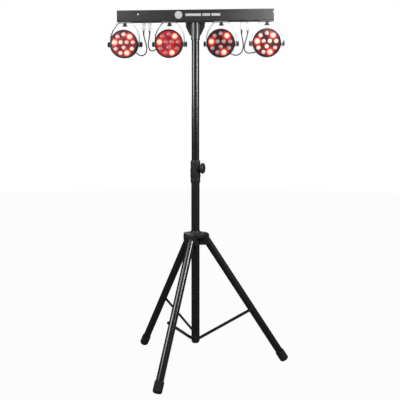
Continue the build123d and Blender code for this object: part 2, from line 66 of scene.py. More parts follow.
MM = 0.001
HEADS = (1, 2, 3, 4)
LEGS = (1, 2, 3)
LOOK_PREFIX = "look_"                # keeps these materials apart from the frame's own

# The lenses of a head, in the order they are placed: nine round the edge, then three in the middle.
# Each ring has its number of lenses, its radius and the angle of its first lens in degrees.
OUTER_RING = 41.9 * MM
LENS_RINGS = ((9, OUTER_RING, 90), (3, 15.4 * MM, 30))
HARD_LIT_ANGLES = (50, 170, 290)    # in degrees, of the outer lenses whose lamps are driven hard
LENS_FACE_DEPTH = -33.0 * MM        # of a head's front plate, from its tilt axis

# How strongly each head's other lenses glow, and how far red light spreads over its plate.
FAINT_GLOW = {1: 0.98, 2: 0.07, 3: 0.34, 4: 0.98}
RED_FLOOR = {1: 0.36, 2: 0.60, 3: 0.22, 4: 0.28}

# The route of each lamp's cord in millimetres, from its plug to the gland on the back of its head.
CORD_ROUTES = {
    1: [(-231.5, 0, 1523), (-231.5, 0, 1504), (-227, 7, 1483), (-221.5, 15, 1461), (-220.5, 23, 1440),
        (-229, 32, 1424), (-244, 43, 1417), (-260, 56, 1420), (-273, 70, 1430), (-289, 79, 1439),
        (-305.5, 75.5, 1444), (-316, 62, 1446), (-316, 46, 1446)],
    2: [(-204.5, 0, 1523), (-204.5, 0, 1504), (-209, 5, 1485), (-213, 12, 1467), (-212.5, 20, 1449),
        (-204, 31, 1436.5), (-190, 43, 1441), (-176, 56, 1451), (-160, 70, 1456), (-142, 79, 1454),
        (-125.5, 75.5, 1448), (-115, 62, 1446), (-115, 46, 1446)],
    3: [(204.5, 0, 1523), (204.5, 0, 1505), (207.5, 3, 1486), (211.5, 6, 1467), (212.5, 11, 1449),
        (208, 20, 1433), (196.5, 31, 1421), (181, 43, 1416), (167.5, 57, 1419), (154, 71, 1426),
        (137.5, 79, 1435), (123, 73.5, 1442), (115, 61, 1446), (115, 46, 1446)],
    4: [(231.5, 0, 1523), (231.5, 0, 1505), (226, 7, 1487), (219, 16, 1469), (215.5, 23, 1451),
        (218.5, 31, 1434), (231.5, 40, 1425), (248, 50, 1427), (263, 62, 1431), (278, 74, 1437),
        (293.5, 79, 1441), (307.5, 74, 1445), (316, 61, 1446), (316, 46, 1446)],
}
CORD_SPLIT_DEPTH = 74 * MM          # a cord passes from its yoke to its head where it is this far back


# --- Settings -------------------------------------------------------------------------------------
class ParcanSizes(bpy.types.PropertyGroup):
    """Sizes that a user would change."""
    cord_diameter: FloatProperty(name="Cord diameter", description="Outside diameter of a lamp's cord",
                                 default=0.005, unit="LENGTH")
    relief_length: FloatProperty(name="Strain relief", default=0.019, unit="LENGTH",
                                 description="Length of the tapered sleeve at a cord's plug")
    lens_radius: FloatProperty(name="Lens radius", description="Radius of one lens with its bezel",
                               default=0.0094, unit="LENGTH")
    screw_radius: FloatProperty(name="Screw radius", description="Radius of a case screw's head",
                                default=0.0028, unit="LENGTH")
    collar_ribs: IntProperty(name="Collar ribs", description="Number of slanted ribs round the mast collar",
                             default=18)
    rear_fins: IntProperty(name="Cooling fins", description="Number of fins round the back of a head",
                           default=30)
    foot_rings: IntProperty(name="Foot rings", description="Number of raised rings round a foot", default=4)


class ParcanColours(bpy.types.PropertyGroup):
    """Colours that a user would change."""
    coat: FloatVectorProperty(name="Bar coat", description="Powder coat of the bar", subtype="COLOR",
                              default=(0.03, 0.03, 0.0318))
    tube: FloatVectorProperty(name="Tube paint", description="Gloss paint of the tubes", subtype="COLOR",
                              default=(0.010, 0.010, 0.011))
    plastic: FloatVectorProperty(name="Black plastic", description="Moulded hub, collar and knobs",
                                 subtype="COLOR", default=(0.016, 0.016, 0.017))
    lamp_red: FloatVectorProperty(name="Lamp red", description="Light of a red lamp", subtype="COLOR",
                                  default=(0.75, 0.008, 0.02))
    lamp_core: FloatVectorProperty(name="Lamp core", description="Middle of a lamp that is driven hard",
                                   subtype="COLOR", default=(1.0, 0.80, 0.50))


def sizes():
    """The sizes in use."""
    return bpy.context.scene.parcan_sizes


def colours():
    """The colours in use."""
    return bpy.context.scene.parcan_colours


# --- Mesh helpers ---------------------------------------------------------------------------------
def add_object(name, data):
    """A new object in the scene."""
    obj = bpy.data.objects.new(name, data)
    bpy.context.scene.collection.objects.link(obj)
    return obj


def mesh_object(name, verts, faces, smooth=True):
    """A mesh from points and faces, with its doubles merged and its faces turned outwards."""
    mesh = bpy.data.meshes.new(name)
    mesh.from_pydata([tuple(v) for v in verts], [], faces)
    work = bmesh.new()
    work.from_mesh(mesh)
    bmesh.ops.remove_doubles(work, verts=work.verts, dist=1e-7)
    bmesh.ops.recalc_face_normals(work, faces=work.faces)
    for face in work.faces:
        face.smooth = smooth
    work.to_mesh(mesh)
    work.free()
    return add_object(name, mesh)


def smooth_by_angle(obj, degrees=32):
    """Keeps an edge sharp where its faces turn by more than an angle."""
    work = bmesh.new()
    work.from_mesh(obj.data)
    for edge in work.edges:
        if len(edge.link_faces) == 2:
            edge.smooth = edge.calc_face_angle(0) < math.radians(degrees)
    work.to_mesh(obj.data)
    work.free()
    return obj


def turned_points(profile, steps, place=Matrix.Identity(4)):
    """The points and faces of a solid of revolution about Z, from its (radius, height) profile."""
    verts, faces = [], []
    for radius, height in profile:
        for k in range(steps):
            angle = 2 * math.pi * k / steps
            verts.append(place @ Vector((radius * math.cos(angle), radius * math.sin(angle), height)))
    for ring in range(len(profile) - 1):
        for k in range(steps):
            a, b = ring * steps + k, ring * steps + (k + 1) % steps
            faces.append((a, b, b + steps, a + steps))
    return verts, faces


def turned(name, profile, steps=48, place=Matrix.Identity(4)):
    """A solid of revolution as an object. A profile that starts and ends on the axis is closed."""
    verts, faces = turned_points(profile, steps, place)
    return smooth_by_angle(mesh_object(name, verts, faces))


def rounded_box(name, low, high, bevel, segments=3):
    """A box between two corners with rounded edges."""
    work = bmesh.new()
    bmesh.ops.create_cube(work, size=1)
    low, high = Vector(low), Vector(high)
    for vert in work.verts:
        vert.co = Vector((low[i] + (vert.co[i] + 0.5) * (high[i] - low[i]) for i in range(3)))
    bmesh.ops.bevel(work, geom=work.edges[:], offset=bevel, segments=segments, affect="EDGES", profile=0.5)
    mesh = bpy.data.meshes.new(name)
    work.to_mesh(mesh)
    work.free()
    obj = add_object(name, mesh)
    for face in mesh.polygons:
        face.use_smooth = True
    return smooth_by_angle(obj)


def merged(name, parts):
    """Several objects of one body as one object."""
    work = bmesh.new()
    for part in parts:
        work.from_mesh(part.data)
        bpy.data.objects.remove(part)
    mesh = bpy.data.meshes.new(name)
    work.to_mesh(mesh)
    work.free()
    return add_object(name, mesh)


def set_attribute(obj, name, values):
    """One number for each point of a mesh."""
    attribute = obj.data.attributes.new(name, "FLOAT", "POINT")
    attribute.data.foreach_set("value", values)


def facing(azimuth):
    """The turn that carries +Z to a level direction, given by its azimuth in degrees from -Y."""
    angle = math.radians(azimuth)
    return Vector((math.sin(angle), -math.cos(angle), 0)).to_track_quat("Z", "Y")


# --- Geometry Nodes -------------------------------------------------------------------------------
def tree_of(name, inputs):
    """An empty Geometry Nodes tree with its named inputs, and its group input and output nodes."""
    tree = bpy.data.node_groups.new(name, "GeometryNodeTree")
    tree.interface.new_socket("Geometry", in_out="INPUT", socket_type="NodeSocketGeometry")
    for label, kind, default in inputs:
        item = tree.interface.new_socket(label, in_out="INPUT", socket_type=kind)
        if default is not None:
            item.default_value = default
    tree.interface.new_socket("Geometry", in_out="OUTPUT", socket_type="NodeSocketGeometry")
    return tree, tree.nodes.new("NodeGroupInput"), tree.nodes.new("NodeGroupOutput")


def end_tree(tree, place, source, result):
    """Ends a tree: its copies become real and take their finish."""
    real = tree.nodes.new("GeometryNodeRealizeInstances")
    paint = tree.nodes.new("GeometryNodeSetMaterial")
    tree.links.new(place.outputs["Instances"], real.inputs["Geometry"])
    tree.links.new(real.outputs["Geometry"], paint.inputs["Geometry"])
    tree.links.new(source.outputs["Finish"], paint.inputs["Material"])
    tree.links.new(paint.outputs["Geometry"], result.inputs["Geometry"])


def placing_tree():
    """A tree that sets a copy of a piece on every point, turned by the point's own turn."""
    name = "place_pieces"
    if name in bpy.data.node_groups:
        return bpy.data.node_groups[name]
    tree, source, result = tree_of(name, [("Piece", "NodeSocketObject", None),
                                          ("Finish", "NodeSocketMaterial", None)])
    nodes, links = tree.nodes, tree.links
    piece = nodes.new("GeometryNodeObjectInfo")
    place = nodes.new("GeometryNodeInstanceOnPoints")
    turn = nodes.new("GeometryNodeInputNamedAttribute")
    turn.data_type = "FLOAT_VECTOR"
    turn.inputs["Name"].default_value = "turn"
    links.new(source.outputs["Piece"], piece.inputs["Object"])
    links.new(source.outputs["Geometry"], place.inputs["Points"])
    links.new(piece.outputs["Geometry"], place.inputs["Instance"])
    links.new(turn.outputs["Attribute"], place.inputs["Rotation"])
    end_tree(tree, place, source, result)
    return tree


def ring_tree():
    """A tree that sets copies of a piece at even steps round a ring in the XY plane."""
    name = "ring_of_pieces"
    if name in bpy.data.node_groups:
        return bpy.data.node_groups[name]
    tree, source, result = tree_of(name, [("Piece", "NodeSocketObject", None),
                                          ("Count", "NodeSocketInt", 12),
                                          ("Radius", "NodeSocketFloat", 0.02),
                                          ("Lean", "NodeSocketFloat", 0.0),
                                          ("Finish", "NodeSocketMaterial", None)])
    nodes, links = tree.nodes, tree.links
    circle = nodes.new("GeometryNodeMeshCircle")
    piece = nodes.new("GeometryNodeObjectInfo")
    place = nodes.new("GeometryNodeInstanceOnPoints")
    index = nodes.new("GeometryNodeInputIndex")
    step = nodes.new("ShaderNodeMath")
    step.operation = "DIVIDE"
    step.inputs[0].default_value = 2 * math.pi
    angle = nodes.new("ShaderNodeMath")
    angle.operation = "MULTIPLY"
    turn = nodes.new("ShaderNodeCombineXYZ")
    links.new(source.outputs["Count"], circle.inputs["Vertices"])
    links.new(source.outputs["Radius"], circle.inputs["Radius"])
    links.new(source.outputs["Piece"], piece.inputs["Object"])
    links.new(circle.outputs["Mesh"], place.inputs["Points"])
    links.new(piece.outputs["Geometry"], place.inputs["Instance"])
    links.new(source.outputs["Count"], step.inputs[1])
    links.new(index.outputs["Index"], angle.inputs[0])
    links.new(step.outputs["Value"], angle.inputs[1])
    links.new(source.outputs["Lean"], turn.inputs["X"])
    links.new(angle.outputs["Value"], turn.inputs["Z"])
    links.new(turn.outputs["Vector"], place.inputs["Rotation"])
    end_tree(tree, place, source, result)
    return tree


def grown(name, base, tree, values, material, place=Matrix.Identity(4)):
    """The result of a tree on an object, as a plain mesh with its place in its points."""
    modifier = base.modifiers.new("grow", "NODES")
    modifier.node_group = tree
    sockets = {item.name: item.identifier for item in tree.interface.items_tree
               if item.item_type == "SOCKET" and item.in_out == "INPUT"}
    for label, value in {**values, "Finish": material}.items():
        modifier[sockets[label]] = value
    bpy.context.view_layer.update()
    evaluated = base.evaluated_get(bpy.context.evaluated_depsgraph_get())
    mesh = bpy.data.meshes.new_from_object(evaluated)
    base.modifiers.remove(modifier)
    bpy.data.objects.remove(base)
    mesh.transform(place)
    mesh.name = name
    if not len(mesh.vertices):
        raise RuntimeError(f"{name} came out empty")
    mesh.materials.clear()
    mesh.materials.append(material)
    return add_object(name, mesh)


def placed(name, piece, spots, material, values=None):
    """Copies of a piece at (point, turn) spots, with any values of each spot. The piece is used up."""
    mesh = bpy.data.meshes.new(name)
    mesh.from_pydata([tuple(point) for point, _ in spots], [], [])
    turns = mesh.attributes.new("turn", "FLOAT_VECTOR", "POINT")
    flat = [component for _, turn in spots for component in turn.to_euler()]
    turns.data.foreach_set("vector", flat)
    for label, numbers in (values or {}).items():
        mesh.attributes.new(label, "FLOAT", "POINT").data.foreach_set("value", numbers)
    base = add_object(name + "_spots", mesh)
    obj = grown(name, base, placing_tree(), {"Piece": piece}, material)
    bpy.data.objects.remove(piece)
    return obj


def ringed(name, piece, count, radius, material, lean=0.0, place=Matrix.Identity(4)):
    """Copies of a piece round a ring. The piece is used up."""
    base = add_object(name + "_ring", bpy.data.meshes.new(name + "_ring"))
    values = {"Piece": piece, "Count": count, "Radius": radius, "Lean": lean}
    obj = grown(name, base, ring_tree(), values, material, place)
    bpy.data.objects.remove(piece)
    return obj


# --- Shader groups --------------------------------------------------------------------------------
def group_of(name, inputs, outputs):
    """An empty shader group with named sockets, and its group input and output nodes."""
    group = bpy.data.node_groups.new(name, "ShaderNodeTree")
    for label, kind, default in inputs:
        item = group.interface.new_socket(label, in_out="INPUT", socket_type=kind)
        item.default_value = default
    for label, kind in outputs:
        group.interface.new_socket(label, in_out="OUTPUT", socket_type=kind)
    return group, group.nodes.new("NodeGroupInput"), group.nodes.new("NodeGroupOutput")


def grain_group():
    """Fine moulded or sprayed grain, and the broad smudges of handling, on object coordinates."""
    name = "surface_grain"
    if name in bpy.data.node_groups:
        return bpy.data.node_groups[name]
    group, source, result = group_of(
        name, [("Grain Scale", "NodeSocketFloat", 700.0), ("Smudge Scale", "NodeSocketFloat", 9.0),
               ("Stretch", "NodeSocketVector", (1.0, 1.0, 1.0))],
        [("Height", "NodeSocketFloat"), ("Smudge", "NodeSocketFloat")])
    nodes, links = group.nodes, group.links
    where = nodes.new("ShaderNodeTexCoord")
    stretch = nodes.new("ShaderNodeVectorMath")
    stretch.operation = "MULTIPLY"
    fine = nodes.new("ShaderNodeTexNoise")
    fine.inputs["Detail"].default_value = 3.0
    broad = nodes.new("ShaderNodeTexNoise")
    broad.inputs["Detail"].default_value = 5.0
    broad.inputs["Roughness"].default_value = 0.62
    links.new(where.outputs["Object"], stretch.inputs[0])
    links.new(source.outputs["Stretch"], stretch.inputs[1])
    for node, scale in ((fine, "Grain Scale"), (broad, "Smudge Scale")):
        links.new(stretch.outputs["Vector"], node.inputs["Vector"])
        links.new(source.outputs[scale], node.inputs["Scale"])
    links.new(fine.outputs["Fac"], result.inputs["Height"])
    links.new(broad.outputs["Fac"], result.inputs["Smudge"])
    return group


def wear_group():
    """A mask of rubbed edges: where the rounded and the true normal part, broken up by noise."""
    name = "rubbed_edges"
    if name in bpy.data.node_groups:
        return bpy.data.node_groups[name]
    group, source, result = group_of(
        name, [("Edge Radius", "NodeSocketFloat", 0.0015), ("Break Up", "NodeSocketFloat", 160.0)],
        [("Mask", "NodeSocketFloat")])
    nodes, links = group.nodes, group.links
    rounded = nodes.new("ShaderNodeBevel")
    rounded.samples = 4
    true = nodes.new("ShaderNodeNewGeometry")
    dot = nodes.new("ShaderNodeVectorMath")
    dot.operation = "DOT_PRODUCT"
    edge = nodes.new("ShaderNodeMapRange")
    edge.inputs["From Min"].default_value = 0.97
    edge.inputs["From Max"].default_value = 0.80
    where = nodes.new("ShaderNodeTexCoord")
    noise = nodes.new("ShaderNodeTexNoise")
    noise.inputs["Detail"].default_value = 4.0
    patchy = nodes.new("ShaderNodeMapRange")
    patchy.inputs["From Min"].default_value = 0.42
    patchy.inputs["From Max"].default_value = 0.62
    both = nodes.new("ShaderNodeMath")
    both.operation = "MULTIPLY"
    links.new(source.outputs["Edge Radius"], rounded.inputs["Radius"])
    links.new(rounded.outputs["Normal"], dot.inputs[0])
    links.new(true.outputs["Normal"], dot.inputs[1])
    links.new(dot.outputs["Value"], edge.inputs["Value"])
    links.new(where.outputs["Object"], noise.inputs["Vector"])
    links.new(source.outputs["Break Up"], noise.inputs["Scale"])
    links.new(noise.outputs["Fac"], patchy.inputs["Value"])
    links.new(edge.outputs["Result"], both.inputs[0])
    links.new(patchy.outputs["Result"], both.inputs[1])
    links.new(both.outputs["Value"], result.inputs["Mask"])
    return group


def group_node(nodes, group, values):
    """A shader group placed in a material with its own values."""
    node = nodes.new("ShaderNodeGroup")
    node.node_tree = group
    for label, value in values.items():
        node.inputs[label].default_value = value
    return node


def shaded(name, colour, worn, rough, *, rough_spread=0.12, grain=700.0, bump=0.06, smudge=9.0,
           stretch=(1.0, 1.0, 1.0), wear=0.5, edge=0.0012, shade=0.15, metallic=0.0, fixed=None):
    """A material with grain, smudges and rubbed edges. fixed holds plain values for the shader's sockets."""
    material = bpy.data.materials.new(LOOK_PREFIX + name)
    material.use_nodes = True
    nodes, links = material.node_tree.nodes, material.node_tree.links
    shader = nodes["Principled BSDF"]
    shader.inputs["Metallic"].default_value = metallic
    for label, value in (fixed or {}).items():
        shader.inputs[label].default_value = value
    marks = group_node(nodes, grain_group(),
                       {"Grain Scale": grain, "Smudge Scale": smudge, "Stretch": stretch})
    mottle = nodes.new("ShaderNodeMix")
    mottle.data_type = "RGBA"
    mottle.inputs["A"].default_value = (*[c * (1 - shade) for c in colour], 1)
    mottle.inputs["B"].default_value = (*[min(1, c * (1 + shade)) for c in colour], 1)
    links.new(marks.outputs["Smudge"], mottle.inputs["Factor"])
    top = mottle.outputs["Result"]
    if wear:
        rubbed = group_node(nodes, wear_group(), {"Edge Radius": edge})
        amount = nodes.new("ShaderNodeMath")
        amount.operation = "MULTIPLY"
        amount.inputs[1].default_value = wear
        links.new(rubbed.outputs["Mask"], amount.inputs[0])
        rub = nodes.new("ShaderNodeMix")
        rub.data_type = "RGBA"
        rub.inputs["B"].default_value = (*worn, 1)
        links.new(amount.outputs["Value"], rub.inputs["Factor"])
        links.new(top, rub.inputs["A"])
        top = rub.outputs["Result"]
    links.new(top, shader.inputs["Base Color"])
    roughness = nodes.new("ShaderNodeMapRange")
    roughness.inputs["From Min"].default_value = 0.3
    roughness.inputs["From Max"].default_value = 0.7
    roughness.inputs["To Min"].default_value = max(0.02, rough - rough_spread / 2)
    roughness.inputs["To Max"].default_value = min(1.0, rough + rough_spread / 2)
    links.new(marks.outputs["Smudge"], roughness.inputs["Value"])
    links.new(roughness.outputs["Result"], shader.inputs["Roughness"])
    relief = nodes.new("ShaderNodeBump")
    relief.inputs["Strength"].default_value = bump
    relief.inputs["Distance"].default_value = 0.0004
    links.new(marks.outputs["Height"], relief.inputs["Height"])
    links.new(relief.outputs["Normal"], shader.inputs["Normal"])
    return material


def finish(name):
    """The material of a finish, from its colour, its rubbed colour, its roughness and the rest."""
    if LOOK_PREFIX + name in bpy.data.materials:
        return bpy.data.materials[LOOK_PREFIX + name]
    coat, tube, plastic = (tuple(c) for c in (colours().coat, colours().tube, colours().plastic))
    rubbed = (0.09, 0.09, 0.09)
    looks = {
        "bar_coat": (coat, (0.1, 0.1, 0.1), 0.56,
                     dict(grain=950, bump=0.22, wear=0.4, shade=0.12, fixed={"Specular IOR Level": 0.12})),
        "gloss_tube": (tube, rubbed, 0.24,
                       dict(rough_spread=0.1, grain=420, bump=0.03, stretch=(1, 1, 0.15), wear=0.3, smudge=14,
                            fixed={"Coat Weight": 0.35, "Coat Roughness": 0.18})),
        "satin_tube": (tube, rubbed, 0.5,
                       dict(grain=520, bump=0.06, stretch=(1, 1, 0.2), wear=0.15, smudge=12,
                            fixed={"Specular IOR Level": 0.25})),
        "socket_enamel": ((0.028, 0.028, 0.029), rubbed, 0.3,
                          dict(grain=480, bump=0.05, wear=0.3, smudge=12,
                               fixed={"Coat Weight": 0.3, "Coat Roughness": 0.25})),
        "moulded_black": (plastic, rubbed, 0.5,
                          dict(grain=820, bump=0.16, wear=0.3, fixed={"Specular IOR Level": 0.3})),
        "knob_black": (plastic, rubbed, 0.55, dict(grain=900, bump=0.2, wear=0.45)),
        "foot_rubber": ((0.02, 0.02, 0.02), (0.045, 0.044, 0.042), 0.72,
                        dict(grain=600, bump=0.2, wear=0.45, edge=0.002, shade=0.25,
                             fixed={"Specular IOR Level": 0.25})),
        "zinc": ((0.56, 0.57, 0.58), (0.8, 0.8, 0.8), 0.32,
                 dict(grain=300, bump=0.05, metallic=1.0, wear=0.3, edge=0.0005)),
        "yoke_metal": ((0.66, 0.67, 0.68), (0.5, 0.5, 0.5), 0.42,
                       dict(grain=260, bump=0.05, stretch=(0.2, 1, 0.2), metallic=0.1, wear=0.3,
                            edge=0.0006, shade=0.04)),
        "strap_black": (tube, rubbed, 0.42, dict(grain=500, bump=0.08, wear=0.5)),
        "head_black": ((0.016, 0.015, 0.015), rubbed, 0.46,
                       dict(grain=760, bump=0.14, wear=0.3, fixed={"Specular IOR Level": 0.25})),
        "case_alloy": ((0.55, 0.56, 0.57), (0.8, 0.8, 0.8), 0.4,
                       dict(grain=220, bump=0.05, metallic=1.0, wear=0.2)),
        "board_green": ((0.02, 0.13, 0.05), (0.3, 0.28, 0.1), 0.4, dict(grain=300, bump=0.1, wear=0.2)),
        "board_white": ((0.62, 0.6, 0.57), (0.7, 0.7, 0.7), 0.5, dict(grain=300, bump=0.05, wear=0.0)),
        "clear_plug": ((0.57, 0.56, 0.55), (0.6, 0.6, 0.6), 0.3,
                       dict(grain=300, bump=0.05, wear=0.2, shade=0.05)),
        "cord_sheath": ((0.030, 0.030, 0.033), rubbed, 0.5,
                        dict(grain=500, bump=0.08, wear=0.0, shade=0.2)),
        "label_white": ((0.82, 0.82, 0.82), (0.5, 0.5, 0.5), 0.45,
                        dict(grain=500, bump=0.04, wear=0.15, shade=0.03)),
        "label_grey": ((0.46, 0.46, 0.47), (0.3, 0.3, 0.3), 0.45,
                       dict(grain=500, bump=0.04, wear=0.15, shade=0.03)),
        "window_dark": ((0.02, 0.004, 0.006), rubbed, 0.12,
                        dict(grain=300, bump=0.01, wear=0.0,
                             fixed={"Coat Weight": 0.6, "Coat Roughness": 0.05})),
    }
    colour, worn, rough, rest = looks[name]
    return shaded(name, colour, worn, rough, **rest)


def ramp(nodes, stops):
    """A colour ramp with its stops."""
    node = nodes.new("ShaderNodeValToRGB")
    node.color_ramp.interpolation = "EASE"
    elements = node.color_ramp.elements
    for element, (position, colour) in zip(elements, (stops[0], stops[-1])):
        element.position = position
        element.color = (*colour, 1)
    for position, colour in stops[1:-1]:
        elements.new(position).color = (*colour, 1)
    return node


def attribute(nodes, name):
    """The value of a mesh attribute."""
    node = nodes.new("ShaderNodeAttribute")
    node.attribute_name = name
    return node


def lens_material():
    """Clear lenses: how lit a lens is comes from "glow", and its middle is found by "core"."""
    if LOOK_PREFIX + "clear_lens" in bpy.data.materials:
        return bpy.data.materials[LOOK_PREFIX + "clear_lens"]
    core = tuple(colours().lamp_core)
    material = shaded("clear_lens", (0.13, 0.10, 0.10), (0.5, 0.5, 0.5), 0.12, rough_spread=0.05, grain=300,
                      bump=0.01, wear=0.0, fixed={"Coat Weight": 0.8, "Coat Roughness": 0.06,
                                                  "Emission Strength": 1.0})
    nodes, links = material.node_tree.nodes, material.node_tree.links
    shader = nodes["Principled BSDF"]
    middle = attribute(nodes, "core")
    glow = attribute(nodes, "glow")
    wash = attribute(nodes, "wash")
    flooded = nodes.new("ShaderNodeVectorMath")
    flooded.operation = "SCALE"
    flooded.inputs[0].default_value = tuple(colours().lamp_red)
    both = nodes.new("ShaderNodeVectorMath")
    both.operation = "ADD"
    faint = ramp(nodes, [(0.0, (0.30, 0.07, 0.08)), (0.16, (0.62, 0.28, 0.28)), (0.4, (0.80, 0.42, 0.38)),
                         (0.68, (0.85, 0.46, 0.28)), (1.0, (1.0, 0.84, 0.62))])
    strong = ramp(nodes, [(0.0, (0.95, 0.36, 0.24)), (0.14, (1.0, 0.60, 0.42)), (0.4, (1.0, 0.78, 0.56)),
                          (1.0, core)])
    dimmed = nodes.new("ShaderNodeVectorMath")
    dimmed.operation = "SCALE"
    lit = nodes.new("ShaderNodeMapRange")
    lit.inputs["From Min"].default_value = 0.9
    lit.inputs["From Max"].default_value = 1.0
    pick = nodes.new("ShaderNodeMix")
    pick.data_type = "RGBA"
    for node in (faint, strong):
        links.new(middle.outputs["Fac"], node.inputs["Fac"])
    links.new(faint.outputs["Color"], dimmed.inputs[0])
    links.new(glow.outputs["Fac"], dimmed.inputs["Scale"])
    links.new(glow.outputs["Fac"], lit.inputs["Value"])
    links.new(lit.outputs["Result"], pick.inputs["Factor"])
    links.new(wash.outputs["Fac"], flooded.inputs["Scale"])
    links.new(dimmed.outputs["Vector"], both.inputs[0])
    links.new(flooded.outputs["Vector"], both.inputs[1])
    links.new(both.outputs["Vector"], pick.inputs["A"])
    links.new(strong.outputs["Color"], pick.inputs["B"])
    links.new(pick.outputs["Result"], shader.inputs["Emission Color"])
    return material


def plate_material():
    """The dark front plate, with the red light that spreads over it painted on as a glow from the "spill"
    attribute.
    """
    if LOOK_PREFIX + "dark_plate" in bpy.data.materials:
        return bpy.data.materials[LOOK_PREFIX + "dark_plate"]
    red = tuple(colours().lamp_red)
    material = shaded("dark_plate", (0.013, 0.011, 0.010), (0.1, 0.1, 0.1), 0.34, grain=500, bump=0.04,
                      wear=0.0, fixed={"Coat Weight": 0.15, "Coat Roughness": 0.12,
                                       "Specular IOR Level": 0.3, "Emission Strength": 1.0})
    nodes, links = material.node_tree.nodes, material.node_tree.links
    spill = attribute(nodes, "spill")
    spread = ramp(nodes, [(0.0, (0.0, 0.0, 0.0)), (0.16, (0.04, 0.002, 0.003)),
                          (0.36, tuple(c * 0.35 for c in red)), (0.62, tuple(c * 0.8 for c in red)),
                          (0.8, (0.9, 0.1, 0.07)), (0.93, (1.0, 0.5, 0.36)), (1.0, (1.0, 0.72, 0.55))])
    links.new(spill.outputs["Fac"], spread.inputs["Fac"])
    links.new(spread.outputs["Color"], nodes["Principled BSDF"].inputs["Emission Color"])
    return material


def assign(node, material):
    """Gives a CAD node its material."""
    obj = frame["nodes"][node]
    for spot in obj.material_slots:
        spot.material = material


# --- Cords ----------------------------------------------------------------------------------------
CORD_STEPS = 10                     # points of a cord's centreline to each point of its route

# A strain relief is a row of ribs that narrow away from the housing. Its widths are in cord radii,
# and its places along the sleeve are shares of the sleeve's length.
RELIEF_RIBS = 5
RELIEF_WIDE, RELIEF_NARROWING = 1.75, 0.55
RELIEF_SUNK, RELIEF_GROOVE = 2.0 * MM, 0.55 * MM
RIB_HALF, GROOVE_START, GROOVE_END = 0.035, 0.06, 0.14
RELIEF_SIDES = 24
GLAND_SHARE = 0.6                   # how long the sleeve at a head is, to the one at its plug
STILL_SHARE = 6                     # picks the point one part in six along a cord's first run


def cord_centreline(number):
    """The points of a cord's smooth centreline, read from its spline."""
    curve = bpy.data.curves.new(f"route_{number}", "CURVE")
    curve.dimensions = "3D"
    curve.resolution_u = CORD_STEPS
    spline = curve.splines.new("NURBS")
    route = CORD_ROUTES[number]
    spline.points.add(len(route) - 1)
    for point, (x, y, z) in zip(spline.points, route):
        point.co = (x * MM, y * MM, z * MM, 1)
    spline.order_u = 3
    spline.use_endpoint_u = True
    obj = add_object(curve.name, curve)
    bpy.context.view_layer.update()
    mesh = bpy.data.meshes.new_from_object(obj.evaluated_get(bpy.context.evaluated_depsgraph_get()))
    points = [v.co.copy() for v in mesh.vertices]
    bpy.data.meshes.remove(mesh)
    bpy.data.objects.remove(obj)
    return points


def tube_along(name, points, radius, steps=14):
    """A closed round tube that follows a path without twisting."""
    verts, faces = [], []
    side = None
    for k, point in enumerate(points):
        ahead = (points[min(k + 1, len(points) - 1)] - points[max(k - 1, 0)]).normalized()
        if side is None:
            side = ahead.orthogonal().normalized()
        side = (side - ahead * side.dot(ahead)).normalized()
        across = ahead.cross(side)
        for j in range(steps):
            angle = 2 * math.pi * j / steps
            verts.append(point + radius * (math.cos(angle) * side + math.sin(angle) * across))
    for k in range(len(points) - 1):
        for j in range(steps):
            a, b = k * steps + j, k * steps + (j + 1) % steps
            faces.append((a, b, b + steps, a + steps))
    faces.append(tuple(range(steps))[::-1])
    faces.append(tuple(range((len(points) - 1) * steps, len(points) * steps)))
    return smooth_by_angle(mesh_object(name, verts, faces), 60)


def strain_relief(name, base, aim, length, radius):
    """A tapered ribbed sleeve where a cord leaves a housing."""
    profile = [(0, -RELIEF_SUNK)]
    for k in range(RELIEF_RIBS + 1):
        share = k / RELIEF_RIBS
        wide = radius * (RELIEF_WIDE - RELIEF_NARROWING * share)
        height = length * share
        profile += [(wide, height - length * RIB_HALF), (wide, height + length * RIB_HALF)]
        if k < RELIEF_RIBS:
            thin = wide - RELIEF_GROOVE
            profile += [(thin, height + length * GROOVE_START), (thin, height + length * GROOVE_END)]
    profile.append((0, length * (1 + RIB_HALF)))
    place = Matrix.Translation(base) @ Vector(aim).to_track_quat("Z", "Y").to_matrix().to_4x4()
    return turned(name, profile, RELIEF_SIDES, place)


class PARCAN_OT_cords(bpy.types.Operator):
    """Lay the four lamp cords and their strain reliefs"""
    bl_idname = "parcan.cords"
    bl_label = "Lamp cords"

    def execute(self, context):
        diameter, relief = sizes().cord_diameter, sizes().relief_length
        radius = diameter / 2
        for k in HEADS:
            yoke, head = f"yoke_{k}", f"head_{k}"
            points = cord_centreline(k)
            past = [i for i, p in enumerate(points) if p.y > CORD_SPLIT_DEPTH]
            cut = past[len(past) // 2]
            lower, upper = points[:cut + 1], points[cut:]
            hanging = lower[len(lower) // STILL_SHARE]
            runs = ((f"cord_{k}_bar_run", lower, "bar", yoke, hanging, lower[-2]),
                    (f"cord_{k}_head_run", upper, yoke, head, upper[1], upper[-3]))
            for name, path, near_body, far_body, start, end in runs:
                piece = tube_along(name, path, radius)
                piece.data.materials.append(finish("cord_sheath"))
                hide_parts(f"cord_{k}")
                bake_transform(piece)
            top = strain_relief(f"plug_relief_{k}", points[0], (0, 0, -1), relief, radius)
            back = strain_relief(f"gland_relief_{k}", points[-1], (0, 1, 0), relief * GLAND_SHARE, radius)
            for piece, body in ((top, "bar"), (back, head)):
                piece.data.materials.append(finish("moulded_black"))
                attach(piece, body)
        return {"FINISHED"}


